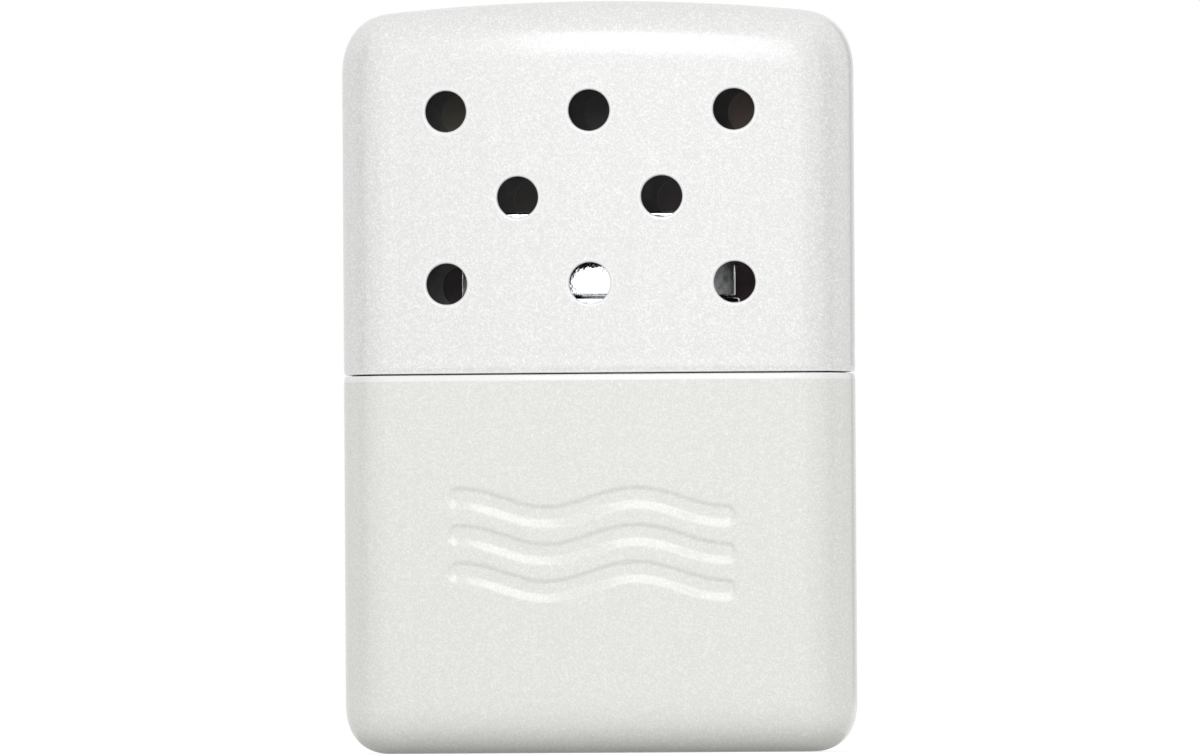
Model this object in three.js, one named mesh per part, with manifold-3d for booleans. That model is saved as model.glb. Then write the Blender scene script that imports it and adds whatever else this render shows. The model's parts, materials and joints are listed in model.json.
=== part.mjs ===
// A catalytic hand warmer of the small size. A drawn case full of cotton wadding is the fuel tank,
// a burner is pushed over its filler neck, and a lid with vent holes is pushed over its sleeve.
//
// Millimetres, +Z up. It stands upright with its origin at the middle of its underside. X runs
// along its width, and its front faces -Y.

import * as THREE from "three";
import { mergeVertices } from "three/addons/utils/BufferGeometryUtils.js";
import Module from "manifold-3d";

const wasm = await Module();
wasm.setup();

// Outside of the whole object
const bodyWidth = 51.2;
const bodyDepth = 15;
const bodyHeight = 75;
const cornerRadius = 5.6; // of the upright corners, seen from above
const faceRadius = 180; // of the slight bulge of the wide faces, seen from above
const seamHeight = 37.8; // middle of the gap between the case and the lid
const seamGap = 0.3;

// Fits
const fitGap = 0.3; // between pieces that slide or press on each other
const overrun = 1; // by which a cut passes the face that it opens

// Lid
const lidWall = 0.5;
const lidRoundReach = 4.8; // how far the rounded top edge comes in from the faces
const lidRoundDrop = 5.4; // how far it comes down
const lidCrownRadius = 215; // of the arch of the top, seen from the front
const lidRimRadius = 0.25;

// Vent holes, the same in the front and the back of the lid
const ventDiameter = 4.13;
const ventTopMargin = 5.6; // from the rounded top edge down to the centres of the highest row
const ventBottomMargin = 8.85; // from the lid's rim up to the centres of the lowest row
const ventSideMargin = 11.15; // from the lid's sides to the centres of the outer holes
const ventRowCounts = [3, 2, 3]; // from the lowest row up

// Case
const caseWall = 0.5;
const caseRoundReach = 4.6;
const caseRoundRise = 5;
const caseRimRadius = 0.4;

// Sleeve that the lid slides over, with the deck that closes the tank
const sleeveWall = 0.4;
const sleeveRise = 7; // above the seam
const sleeveSink = 8; // below the seam, inside the case
const deckThickness = 0.4;
const deckEdgeRadius = 1.2;
const gripBumpHeight = 0.2; // four raised dots on the sleeve hold the lid
const gripBumpRadius = 1.1;
const gripBumpSpacing = 24;

// Burner, an oblong with round ends
const burnerWidth = 27.4;
const burnerDepth = 9.6;
const burnerWall = 0.4;
const burnerHeight = 8.3;
const skirtHeight = 3.9; // of the collar that goes over the neck
const ledgeReach = 1.9; // of the base's ledge, in from its side
const beadReach = 0.25; // of the rolled bead between the base and the cap
const beadHeight = 0.6;
const capRimReach = 1.5; // of the frame round the cap's open top
const capEdgeRadius = 0.5;
const crossbarWidth = 0.9;
const crossbarCount = 3;
const windowCount = 4; // in each wide side of the cap
const windowWidthShare = 0.72; // of a window's pitch
const windowHeight = 1.9;
const windowRise = 1; // above the cap's lower edge
const dimpleDepth = 0.25; // four dimples in the skirt grip the neck
const dimpleRadius = 1.2;
const dimpleSpacing = 12;

// Filler neck
const neckClearance = 0.4; // between the neck and the burner's skirt
const neckWall = 0.4;
const neckHeadroom = 0.4; // between the neck's mouth and the burner's ledge
const neckSink = 1.5; // below the deck's underside
const flangeReach = 1.2;
const flangeThickness = 0.5;

// Catalyst between its two gauzes
const gauzeThickness = 0.3;
const padRound = 0.6;
const padClearance = 0.5; // all round, to the cap's wall
const meshColumns = 13;
const meshRows = 4;
const meshSpanShare = 0.82; // of the gauze's width and depth, taken up by the openings
const meshOpeningShare = 0.7; // of the pitch of the openings

// Cotton in the tank
const wadCount = 4;
const wadRound = 3;
const wickRound = 0.8;

// Finish of the facets
const cornerSteps = 7; // in a quarter turn
const faceSteps = 5; // in half of a wide face
const softCornerSteps = 4;
const softFaceSteps = 3;
const endSteps = 6; // in a quarter turn of the oblong pieces' ends
const roundSteps = 7;
const smallRoundSteps = 3;
const holeSteps = 24;
const buttonSteps = 12;

// Heights that several pieces share
const lidRim = seamHeight + seamGap / 2;
const caseRim = seamHeight - seamGap / 2;
const deckTop = seamHeight + sleeveRise;
const deckUnderside = deckTop - deckThickness;
const flangeTop = deckTop + flangeThickness;
const burnerBottom = flangeTop + fitGap;
const neckMouth = burnerBottom + skirtHeight - neckHeadroom;

// Heights in the burner's own frame, from its lower edge
const ledgeUnderside = skirtHeight;
const ledgeTop = ledgeUnderside + burnerWall;
const lowerGauzeBottom = ledgeTop;
const upperGauzeBottom = burnerHeight - burnerWall - gauzeThickness;

// Radii of the oblong pieces' round ends, which share their centres
const burnerRadius = burnerDepth / 2;
const endCentre = (burnerWidth - burnerDepth) / 2;
const skirtBore = burnerRadius - burnerWall;
const neckRadius = skirtBore - neckClearance;
const neckBore = neckRadius - neckWall;

const pearl = new THREE.MeshStandardMaterial({ color: 0xe9e8e4, roughness: 0.32, metalness: 0.1 });
const chrome = new THREE.MeshStandardMaterial({ color: 0xc9cbce, roughness: 0.12, metalness: 1 });
const steel = new THREE.MeshStandardMaterial({ color: 0x8d8f92, roughness: 0.4, metalness: 1 });
const fleece = new THREE.MeshStandardMaterial({ color: 0x6c6a68, roughness: 0.95, metalness: 0 });
const cotton = new THREE.MeshStandardMaterial({ color: 0xf1eee6, roughness: 1, metalness: 0 });

// Outlines

// A closed outline, counterclockwise from above, made from its quarter between +X and +Y, whose
// last point lies on the Y axis
function loopFromQuarter(quarter) {
  const mirrored = quarter.slice(0, -1).reverse().map((point) => new THREE.Vector2(-point.x, point.y));
  const half = [...quarter, ...mirrored];
  const otherHalf = half.map((point) => new THREE.Vector2(-point.x, -point.y));
  return [...half, ...otherHalf];
}

function pointOnArc(centreX, centreY, radius, angle) {
  return new THREE.Vector2(centreX + radius * Math.cos(angle), centreY + radius * Math.sin(angle));
}

// The body's outline from above, drawn in by an inset: bulging faces that run into round corners
function bodyOutline(inset, corners = cornerSteps, faces = faceSteps) {
  const faceCentreY = bodyDepth / 2 - faceRadius;
  const cornerX = bodyWidth / 2 - cornerRadius;
  const reach = faceRadius - cornerRadius;
  const cornerY = faceCentreY + Math.sqrt(reach * reach - cornerX * cornerX);
  const tangent = Math.atan2(cornerY - faceCentreY, cornerX);
  const quarter = [];
  for (let step = 0; step <= corners; step += 1) {
    const angle = (tangent * step) / corners;
    quarter.push(pointOnArc(cornerX, cornerY, cornerRadius - inset, angle));
  }
  for (let step = 1; step <= faces; step += 1) {
    const angle = THREE.MathUtils.lerp(tangent, Math.PI / 2, step / faces);
    quarter.push(pointOnArc(0, faceCentreY, faceRadius - inset, angle));
  }
  return loopFromQuarter(quarter);
}

// An oblong with round ends of the given radius
function oblong(radius) {
  const quarter = [];
  for (let step = 0; step < endSteps; step += 1) {
    const angle = ((Math.PI / 2) * (2 * step + 1)) / (2 * endSteps - 1);
    quarter.push(pointOnArc(endCentre, 0, radius, angle));
  }
  quarter.push(new THREE.Vector2(0, radius));
  return loopFromQuarter(quarter);
}

function level() {
  return 0;
}

// An outline raised to a height, falling off towards its sides where the surface is arched
function section(loop, height, fall = level) {
  return loop.map((point) => new THREE.Vector3(point.x, point.y, height - fall(point.x)));
}

// The steps of a quarter round: how far each comes in, from 0 to 1, and how far it has risen
function quarterRound(steps) {
  const places = [];
  for (let step = 0; step <= steps; step += 1) {
    const angle = ((Math.PI / 2) * step) / steps;
    places.push({ inward: 1 - Math.cos(angle), upward: Math.sin(angle) });
  }
  return places;
}

// Solids

function manifoldOf(positions, triangles) {
  return new wasm.Manifold(
    new wasm.Mesh({
      numProp: 3,
      vertProperties: Float32Array.from(positions),
      triVerts: Uint32Array.from(triangles),
    }),
  );
}

// Two triangles over the quadrilateral a, b, c, d
function quad(a, b, c, d) {
  return [a, b, c, a, c, d];
}

// A lid over a section, as a strip between its front and its back. It faces up, or down if flipped.
function endCap(start, count, flipped) {
  const triangles = [];
  for (let index = 0; index < count / 2 - 1; index += 1) {
    const right = start + index;
    const opposite = start + count - 1 - index;
    const face = quad(right, right + 1, opposite - 1, opposite);
    triangles.push(...(flipped ? face.reverse() : face));
  }
  return triangles;
}

// A solid skinned over sections that run in order up its outside and down its inside. A ring is
// closed from its last section to its first, and any other solid is closed at both ends.
function skin(sections, isRing = false) {
  const count = sections[0].length;
  const positions = sections.flat().flatMap((point) => [point.x, point.y, point.z]);
  const triangles = [];
  const bands = isRing ? sections.length : sections.length - 1;
  for (let band = 0; band < bands; band += 1) {
    const lower = band * count;
    const upper = ((band + 1) % sections.length) * count;
    for (let index = 0; index < count; index += 1) {
      const next = (index + 1) % count;
      triangles.push(...quad(lower + index, lower + next, upper + next, upper + index));
    }
  }
  if (!isRing) {
    triangles.push(...endCap(0, count, true));
    triangles.push(...endCap((sections.length - 1) * count, count, false));
  }
  return manifoldOf(positions, triangles);
}

// A closed three.js geometry as a solid
function solidOf(geometry) {
  const bare = geometry.clone();
  bare.deleteAttribute("normal");
  bare.deleteAttribute("uv");
  const merged = mergeVertices(bare);
  return manifoldOf(merged.getAttribute("position").array, merged.getIndex().array);
}

function boxAt(width, depth, height, x, y, z) {
  return solidOf(new THREE.BoxGeometry(width, depth, height).translate(x, y, z));
}

// A flattened ball, centred on a wide face, that stands out of it and sinks into it by its height
function button(radius, height, x, y, z) {
  const ball = new THREE.SphereGeometry(radius, buttonSteps, buttonSteps / 2);
  return solidOf(ball.scale(1, height / radius, 1).translate(x, y, z));
}

// What a function makes for the front and the back, at the left and at the right
function onBothFaces(make) {
  return [-1, 1].flatMap((side) => [-1, 1].map((end) => make(side, end)));
}

function joinedTo(solid, others) {
  return others.reduce((sum, other) => sum.add(other), solid);
}

function cutFrom(solid, cuts) {
  return cuts.reduce((rest, cut) => rest.subtract(cut), solid);
}

// A cushion between two heights: an outline whose top and bottom edges are rounded
function cushion(outline, bottom, top, round) {
  const steps = quarterRound(smallRoundSteps);
  const lower = steps.toReversed().map(({ inward, upward }) => {
    return section(outline(round * inward), bottom + round * (1 - upward));
  });
  const upper = steps.map(({ inward, upward }) => {
    return section(outline(round * inward), top - round * (1 - upward));
  });
  return skin([...lower, ...upper]);
}

function pieceOf(name, solid, material) {
  const { vertProperties, triVerts } = solid.getMesh();
  const geometry = new THREE.BufferGeometry();
  geometry.setAttribute("position", new THREE.BufferAttribute(vertProperties, 3));
  geometry.setIndex(new THREE.BufferAttribute(triVerts, 1));
  geometry.computeVertexNormals();
  const mesh = new THREE.Mesh(geometry, material);
  mesh.name = name;
  return mesh;
}

// Case: one deep-drawn can with a rolled rim. Its frame is the object's own.
function caseShell() {
  const outerRound = quarterRound(roundSteps).toReversed();
  const innerReach = caseRoundReach - caseWall;
  const innerRise = caseRoundRise - caseWall;
  const outside = outerRound.map(({ inward, upward }) => {
    return section(bodyOutline(caseRoundReach * inward), caseRoundRise * (1 - upward));
  });
  const rim = quarterRound(smallRoundSteps).map(({ inward, upward }) => {
    return section(bodyOutline(caseRimRadius * inward), caseRim - caseRimRadius * (1 - upward));
  });
  const inside = outerRound.toReversed().map(({ inward, upward }) => {
    const inset = caseWall + innerReach * inward;
    return section(bodyOutline(inset), caseWall + innerRise * (1 - upward));
  });
  return skin([...outside, ...rim, section(bodyOutline(caseWall), caseRim), ...inside]);
}

// Sleeve and deck: one pressing, with a hole in the deck for the neck and dots that grip the lid
function tankTop() {
  const outerInset = caseWall + fitGap;
  const innerInset = outerInset + sleeveWall;
  const bottom = caseRim - sleeveSink;
  const innerRadius = deckEdgeRadius - deckThickness;
  const inside = quarterRound(smallRoundSteps).toReversed().map(({ inward, upward }) => {
    return section(bodyOutline(innerInset + innerRadius * inward), deckUnderside - innerRadius * (1 - upward));
  });
  const outside = quarterRound(smallRoundSteps).map(({ inward, upward }) => {
    return section(bodyOutline(outerInset + deckEdgeRadius * inward), deckTop - deckEdgeRadius * (1 - upward));
  });
  const shell = skin([
    ...inside,
    section(bodyOutline(innerInset), bottom),
    section(bodyOutline(outerInset), bottom),
    ...outside,
  ]);
  const neckHole = skin([
    section(oblong(neckRadius + fitGap), deckUnderside - overrun),
    section(oblong(neckRadius + fitGap), deckTop + overrun),
  ]);
  return joinedTo(shell.subtract(neckHole), gripBumps(outerInset));
}

// The raised dots on the sleeve, two on each wide face
function gripBumps(outerInset) {
  const x = gripBumpSpacing / 2;
  const z = seamHeight + sleeveRise / 2;
  const arcRadius = faceRadius - outerInset;
  const y = bodyDepth / 2 - faceRadius + Math.sqrt(arcRadius * arcRadius - x * x);
  return onBothFaces((side, end) => button(gripBumpRadius, gripBumpHeight, end * x, side * y, z));
}

// Filler neck: an oblong tube whose flange lies on the deck
function fillerNeck() {
  const flangeRadius = neckRadius + flangeReach;
  return skin(
    [
      section(oblong(neckRadius), deckUnderside - neckSink),
      section(oblong(neckRadius), deckTop),
      section(oblong(flangeRadius), deckTop),
      section(oblong(flangeRadius), flangeTop),
      section(oblong(neckRadius), flangeTop),
      section(oblong(neckRadius), neckMouth),
      section(oblong(neckBore), neckMouth),
      section(oblong(neckBore), deckUnderside - neckSink),
    ],
    true,
  );
}

// Cotton wadding, pushed into the tank as wads that lie on each other
function cottonWad(index) {
  const wadInset = caseWall + fitGap + sleeveWall + fitGap;
  const floor = caseWall + fitGap;
  const ceiling = deckUnderside - neckSink - fitGap;
  const pitch = (ceiling - floor + fitGap) / wadCount;
  const bottom = floor + index * pitch;
  return cushion(
    (inset) => bodyOutline(wadInset + inset, softCornerSteps, softFaceSteps),
    bottom,
    bottom + pitch - fitGap,
    wadRound,
  );
}

// The tuft of cotton that stands in the neck
function cottonWick() {
  const bottom = deckUnderside - neckSink;
  return cushion((inset) => oblong(neckBore - fitGap - inset), bottom, deckTop - fitGap, wickRound);
}

// Burner base: a collar that goes over the neck, with a ledge that carries the catalyst. Dimples in
// the collar, hollow outside and raised inside, grip the neck. The burner's own frame has its
// origin at the collar's lower edge.
function burnerBase() {
  const ring = skin(
    [
      section(oblong(burnerRadius), 0),
      section(oblong(burnerRadius), ledgeTop - beadHeight),
      section(oblong(burnerRadius + beadReach), ledgeTop - (2 * beadHeight) / 3),
      section(oblong(burnerRadius + beadReach), ledgeTop - beadHeight / 3),
      section(oblong(burnerRadius), ledgeTop),
      section(oblong(burnerRadius - ledgeReach), ledgeTop),
      section(oblong(burnerRadius - ledgeReach), ledgeUnderside),
      section(oblong(skirtBore), ledgeUnderside),
      section(oblong(skirtBore), 0),
    ],
    true,
  );
  const x = dimpleSpacing / 2;
  const z = skirtHeight / 2;
  const bumps = onBothFaces((side, end) => button(dimpleRadius, dimpleDepth, end * x, side * skirtBore, z));
  const hollows = onBothFaces((side, end) => {
    return button(dimpleRadius, dimpleDepth, end * x, side * burnerRadius, z);
  });
  return cutFrom(joinedTo(ring, bumps), hollows);
}

// Burner cap: a cage with windows in its sides and a frame with crossbars round its open top
function burnerCap() {
  const top = burnerHeight;
  const edge = quarterRound(smallRoundSteps).map(({ inward, upward }) => {
    return section(oblong(burnerRadius - capEdgeRadius * inward), top - capEdgeRadius * (1 - upward));
  });
  const openRadius = burnerRadius - capRimReach;
  let cap = skin(
    [
      section(oblong(burnerRadius), ledgeTop),
      ...edge,
      section(oblong(openRadius), top),
      section(oblong(openRadius), top - burnerWall),
      section(oblong(skirtBore), top - burnerWall),
      section(oblong(skirtBore), ledgeTop),
    ],
    true,
  );
  const barPitch = (2 * endCentre) / crossbarCount;
  for (let bar = 0; bar < crossbarCount; bar += 1) {
    const x = (bar - (crossbarCount - 1) / 2) * barPitch;
    cap = cap.add(boxAt(crossbarWidth, 2 * skirtBore, burnerWall, x, 0, top - burnerWall / 2));
  }
  return cutFrom(cap, capWindows());
}

// The cuts for the windows: each goes through both wide sides, and one more through both ends
function capWindows() {
  const pitch = (2 * endCentre) / windowCount;
  const width = pitch * windowWidthShare;
  const z = ledgeTop + windowRise + windowHeight / 2;
  const cuts = [boxAt(burnerWidth + 2 * overrun, width, windowHeight, 0, 0, z)];
  for (let window = 0; window < windowCount; window += 1) {
    const x = (window - (windowCount - 1) / 2) * pitch;
    cuts.push(boxAt(width, burnerDepth + 2 * overrun, windowHeight, x, 0, z));
  }
  return cuts;
}

// A gauze: an oblong plate with a grid of square openings
function gauze(bottom) {
  const radius = skirtBore - fitGap;
  const plate = skin([
    section(oblong(radius), bottom),
    section(oblong(radius), bottom + gauzeThickness),
  ]);
  const columnPitch = (2 * (endCentre + radius) * meshSpanShare) / meshColumns;
  const rowPitch = (2 * radius * meshSpanShare) / meshRows;
  const openings = [];
  for (let column = 0; column < meshColumns; column += 1) {
    for (let row = 0; row < meshRows; row += 1) {
      const x = (column - (meshColumns - 1) / 2) * columnPitch;
      const y = (row - (meshRows - 1) / 2) * rowPitch;
      openings.push(
        boxAt(
          columnPitch * meshOpeningShare,
          rowPitch * meshOpeningShare,
          gauzeThickness + 2 * overrun,
          x,
          y,
          bottom + gauzeThickness / 2,
        ),
      );
    }
  }
  return cutFrom(plate, openings);
}

// Catalyst: a pad of platinum-coated glass fibre that lies loosely between the gauzes
function catalystPad() {
  const outline = (inset) => oblong(skirtBore - padClearance - inset);
  return cushion(outline, lowerGauzeBottom + gauzeThickness + fitGap, upperGauzeBottom - fitGap, padRound);
}

// Lid: one deep-drawn cap with an arched top and its vent holes punched through both faces. Its
// own frame has its origin in the plane of its rim.
function lidShell() {
  const height = bodyHeight - lidRim;
  const fall = (x) => lidCrownRadius - Math.sqrt(lidCrownRadius * lidCrownRadius - x * x);
  const innerReach = lidRoundReach - lidWall;
  const innerDrop = lidRoundDrop - lidWall;
  const inside = quarterRound(roundSteps).toReversed().map(({ inward, upward }) => {
    const inset = lidWall + innerReach * inward;
    return section(bodyOutline(inset), height - lidWall - innerDrop * (1 - upward), fall);
  });
  const rim = quarterRound(smallRoundSteps).toReversed().map(({ inward, upward }) => {
    return section(bodyOutline(lidRimRadius * inward), lidRimRadius * (1 - upward));
  });
  const outside = quarterRound(roundSteps).map(({ inward, upward }) => {
    return section(bodyOutline(lidRoundReach * inward), height - lidRoundDrop * (1 - upward), fall);
  });
  const shell = skin([...inside, section(bodyOutline(lidWall), 0), ...rim, ...outside]);
  return cutFrom(shell, ventCuts());
}

// The cuts for the vent holes, each through both faces. The rows are spread evenly over the lid's
// height, and the holes of every row have the pitch of the fullest one.
function ventCuts() {
  const highestRow = bodyHeight - lidRim - lidRoundDrop - ventTopMargin;
  const rowPitch = (highestRow - ventBottomMargin) / (ventRowCounts.length - 1);
  const pitch = (bodyWidth - 2 * ventSideMargin) / (Math.max(...ventRowCounts) - 1);
  const cuts = [];
  ventRowCounts.forEach((count, row) => {
    const z = ventBottomMargin + row * rowPitch;
    for (let hole = 0; hole < count; hole += 1) {
      const x = (hole - (count - 1) / 2) * pitch;
      const drill = new THREE.CylinderGeometry(
        ventDiameter / 2,
        ventDiameter / 2,
        bodyDepth + 2 * overrun,
        holeSteps,
      );
      cuts.push(solidOf(drill.translate(x, 0, z)));
    }
  });
  return cuts;
}

// The object: the tank with what is fixed to it, the burner on its neck, and the lid over both
const tank = new THREE.Group();
tank.add(pieceOf("case_shell", caseShell(), pearl));
tank.add(pieceOf("tank_top", tankTop(), chrome));
tank.add(pieceOf("filler_neck", fillerNeck(), chrome));
tank.add(pieceOf("cotton_wick", cottonWick(), cotton));
for (let index = 0; index < wadCount; index += 1) {
  tank.add(pieceOf(`cotton_wad_${index + 1}`, cottonWad(index), cotton));
}

const burner = new THREE.Group();
burner.position.z = burnerBottom;
burner.add(pieceOf("burner_base", burnerBase(), chrome));
burner.add(pieceOf("lower_gauze", gauze(lowerGauzeBottom), steel));
burner.add(pieceOf("catalyst_pad", catalystPad(), fleece));
burner.add(pieceOf("upper_gauze", gauze(upperGauzeBottom), steel));
burner.add(pieceOf("burner_cap", burnerCap(), chrome));

const lid = new THREE.Group();
lid.position.z = lidRim;
lid.add(pieceOf("lid_shell", lidShell(), pearl));

const handWarmer = new THREE.Group();
handWarmer.add(tank, burner, lid);

export default handWarmer;
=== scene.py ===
"""The looks of a flat catalytic hand warmer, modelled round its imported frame.

The painted lid and case, the chromed sleeve, neck and burner, the gauzes, the catalyst and the
cotton are each one mesh that stands for a CAD node. Metres, +Z up, the front faces -Y.
"""

import json
import math

import bpy
from mathutils import Matrix, Vector, noise


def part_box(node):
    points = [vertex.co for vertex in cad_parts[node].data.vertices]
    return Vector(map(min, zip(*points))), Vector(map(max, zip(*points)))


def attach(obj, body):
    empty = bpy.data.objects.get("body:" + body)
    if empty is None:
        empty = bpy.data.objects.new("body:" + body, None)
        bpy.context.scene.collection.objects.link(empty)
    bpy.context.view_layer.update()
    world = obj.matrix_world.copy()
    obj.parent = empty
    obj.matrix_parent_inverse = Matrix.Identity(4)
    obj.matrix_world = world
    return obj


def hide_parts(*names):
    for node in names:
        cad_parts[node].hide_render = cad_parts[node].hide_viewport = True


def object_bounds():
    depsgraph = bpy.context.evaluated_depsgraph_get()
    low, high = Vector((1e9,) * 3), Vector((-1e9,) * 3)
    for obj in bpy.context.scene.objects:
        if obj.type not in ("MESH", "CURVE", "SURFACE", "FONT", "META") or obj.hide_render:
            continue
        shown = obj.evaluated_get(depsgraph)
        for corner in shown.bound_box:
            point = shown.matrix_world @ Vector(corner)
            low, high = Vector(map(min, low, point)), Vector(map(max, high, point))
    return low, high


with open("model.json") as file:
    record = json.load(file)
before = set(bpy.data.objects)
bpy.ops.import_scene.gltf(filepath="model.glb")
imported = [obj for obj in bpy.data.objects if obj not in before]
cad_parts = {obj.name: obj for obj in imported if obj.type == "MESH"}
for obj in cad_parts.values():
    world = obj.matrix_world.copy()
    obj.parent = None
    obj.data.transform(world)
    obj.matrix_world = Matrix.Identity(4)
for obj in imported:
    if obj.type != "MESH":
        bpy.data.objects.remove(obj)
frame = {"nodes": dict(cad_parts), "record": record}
cad_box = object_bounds()

MM = 0.001

# Outside of the body
BODY_WIDTH = 51.2 * MM
BODY_DEPTH = 15 * MM
CORNER_RADIUS = 5.6 * MM
FACE_RADIUS = 180 * MM
SHELL_WALL = 0.5 * MM
FACE_HALF = 19.8 * MM  # half the width over which points follow the wide faces
CORNER_POINTS = 20  # of each corner of a shell
DRAWN_FULLNESS = 2.3  # of the roundings at the top of the lid and at the foot of the case
DRAWN_STEPS = 18
EDGE_STEPS = 6
SMOOTH_ANGLE = math.radians(34)

# Lid
LID_ROUND_REACH = 4.8 * MM
LID_ROUND_DROP = 5.7 * MM
LID_CROWN_RADIUS = 215 * MM
LID_RIM_REACH = 0.1 * MM
LID_RIM_DROP = 0.14 * MM
LID_RIM_IN = 0.05 * MM  # by which the wall draws in at the rim
LID_SWELL_RISE = 0.6 * MM  # from the rim up to where the wall swells out again
LID_HOLLOW_DEPTH = 0.02 * MM  # of the shallow hollow over the swell
LID_HOLLOW_RISE = 1.6 * MM  # from the rim up to the deepest part of that hollow
LID_PLAIN_RISE = 3.2 * MM  # from the rim up to where the wall is plain
LID_RIM_ROWS = (0.07 * MM, 0.2 * MM, 0.4 * MM)  # between rows, up to each of these three rises
LID_PLAIN_ROW = 1 * MM
LID_TOP_ROW = 2 * MM
VENT_RADIUS = 2.065 * MM
VENT_EDGE = 0.22 * MM  # rounding of the painted edge of a vent hole
VENT_HIGHLIGHT = 0.32 * MM  # width of the paler paint round it, a painted highlight
VENT_INNER_EDGE = 0.08 * MM
VENT_COLUMN = 7.225 * MM
VENT_ROW = 8.6 * MM
VENT_LOWEST = 46.8 * MM
VENT_ROWS = ((-2, 0, 2), (-1, 1), (-2, 0, 2))  # columns of the holes, from the lowest row up
CELLS_TO_COLUMN = 16  # of the mesh, from one column of holes to the next
CELLS_TO_ROW = 20
VENT_CELLS = 6  # that a hole takes out, at each side of its centre

# Case
CASE_ROUND_REACH = 4.6 * MM
CASE_ROUND_RISE = 5 * MM
CASE_INNER_STEPS = 8
CASE_RIM_REACH = 0.18 * MM
CASE_RIM_DROP = 0.62 * MM
CASE_RIM_FOOT = 1.5 * CASE_RIM_DROP  # from the rim down to the plain wall
CASE_COLUMN = 0.9 * MM
CASE_ROW = 1.5 * MM
SEAM_CLOSING = 0.07 * MM  # how far each rim's paint reaches into the seam
RELIEF_DEPTH = 0.2 * MM
RELIEF_CENTRE = 20.8 * MM
RELIEF_HALF_WIDTH = 14.6 * MM
RELIEF_STROKE = 1.15 * MM  # half the width of a line
RELIEF_LOWER_WALL = 0.85 * MM
RELIEF_UPPER_WALL = 0.35 * MM
RELIEF_EVEN_SHARE = 0.6  # of the slope of those walls, whose ends are rounded
RELIEF_PITCH = 3.7 * MM
RELIEF_SWING = 0.95 * MM
RELIEF_WAVES = 1.5  # whole and part waves from end to end, so that the lines end level
RELIEF_CELL = 0.14 * MM

# Sleeve and deck
SLEEVE_GAP = 0.3 * MM
SLEEVE_WALL = 0.4 * MM
SLEEVE_CORNER_POINTS = 16
SLEEVE_COLUMN = 0.8 * MM
SLEEVE_CELL = 0.22 * MM
SLEEVE_ROWS = (2 * MM, SLEEVE_CELL, 1 * MM)  # below, across and over the dots
DECK_THICKNESS = 0.4 * MM
DECK_EDGE_RADIUS = 1.2 * MM
DECK_EDGE_STEPS = 8
GRIP_BUMP_HEIGHT = 0.2 * MM
GRIP_BUMP_RADIUS = 1.1 * MM
GRIP_BUMP_X = 12 * MM
SPOT_SHARE = 1.2  # of the radius of a dot or a dimple, up to which the cells are fine

# Burner and neck, oblongs whose round ends share their centres
BURNER_RADIUS = 4.8 * MM
END_CENTRE = 8.9 * MM
OBLONG_COLUMN = 0.6 * MM
OBLONG_END_POINTS = 16
THIN_WALL = 0.4 * MM
LEDGE_REACH = 1.9 * MM
BEAD_REACH = 0.25 * MM
BEAD_HEIGHT = 0.6 * MM
BEAD_STEPS = 8
NECKING = 0.13 * MM  # by which the collar draws in under the bead
NECKING_HEIGHT = 1.9 * MM
HOLLOW_DEPTH = 0.25 * MM  # of the shallow hollow in the middle of the collar's wide faces
HOLLOW_HALF = 4 * MM
COLLAR_EDGE = 0.15 * MM
COLLAR_COLUMN = 0.5 * MM
COLLAR_CELL = 0.2 * MM
CAP_RIM_REACH = 1.5 * MM
CAP_EDGE_RADIUS = 0.3 * MM
CAP_COLUMN = 0.4 * MM
CAP_END_POINTS = 10  # up to the window in a round end
CAP_WINDOW_SHARES = (0.6, 0.2)  # of half that window, where it has points
CROSSBAR_WIDTH = 0.9 * MM
CROSSBAR_SEAT = 0.5 * MM  # how far a crossbar's end goes into the frame
CROSSBAR_SUNK = 0.03 * MM
CROSSBARS = 3
WINDOWS = 4
WINDOW_WIDTH_SHARE = 0.72
WINDOW_HEIGHT = 1.9 * MM
WINDOW_RISE = 1 * MM
DIMPLE_DEPTH = 0.25 * MM
DIMPLE_RADIUS = 1.2 * MM
DIMPLE_X = 6 * MM
NECK_CLEARANCE = 0.4 * MM
NECK_RADIUS = BURNER_RADIUS - THIN_WALL - NECK_CLEARANCE
NECK_LIP = THIN_WALL / 2.2
FLANGE_REACH = 1.2 * MM
FLANGE_THICKNESS = 0.5 * MM
FLANGE_EDGE = 0.12 * MM
CORNER_STEPS = 4  # of the small roundings of neck and collar

# Wire, fleece and cotton
WIRE_RADIUS = 0.085 * MM
WIRE_PITCH = 0.52 * MM
WIRE_SIDES = 6
WEAVE_SWING = 1.05 * WIRE_RADIUS
WEAVE_STEPS = 4  # from one crossing to the next
GAUZE_GAP = 0.3 * MM
FRACTAL = (0.7, 2.0, 4)  # how fast the ruffles grow weaker and finer, and how many times
RUFFLE_OFFSET = 0.6  # share of a ruffle's height by which it is drawn in
SOFT_ANGLE = math.radians(80)
SOFT_COLUMN = 0.4 * MM
SOFT_END_POINTS = 12
SOFT_ROW = 0.8 * MM
SOFT_EDGE = 0.6 * MM
CROWN_STEPS = 8
WAD_COLUMN = 1.1 * MM
WAD_CORNER_POINTS = 10
WAD_EDGE = 3 * MM
WAD_GAP = 0.2 * MM

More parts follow.
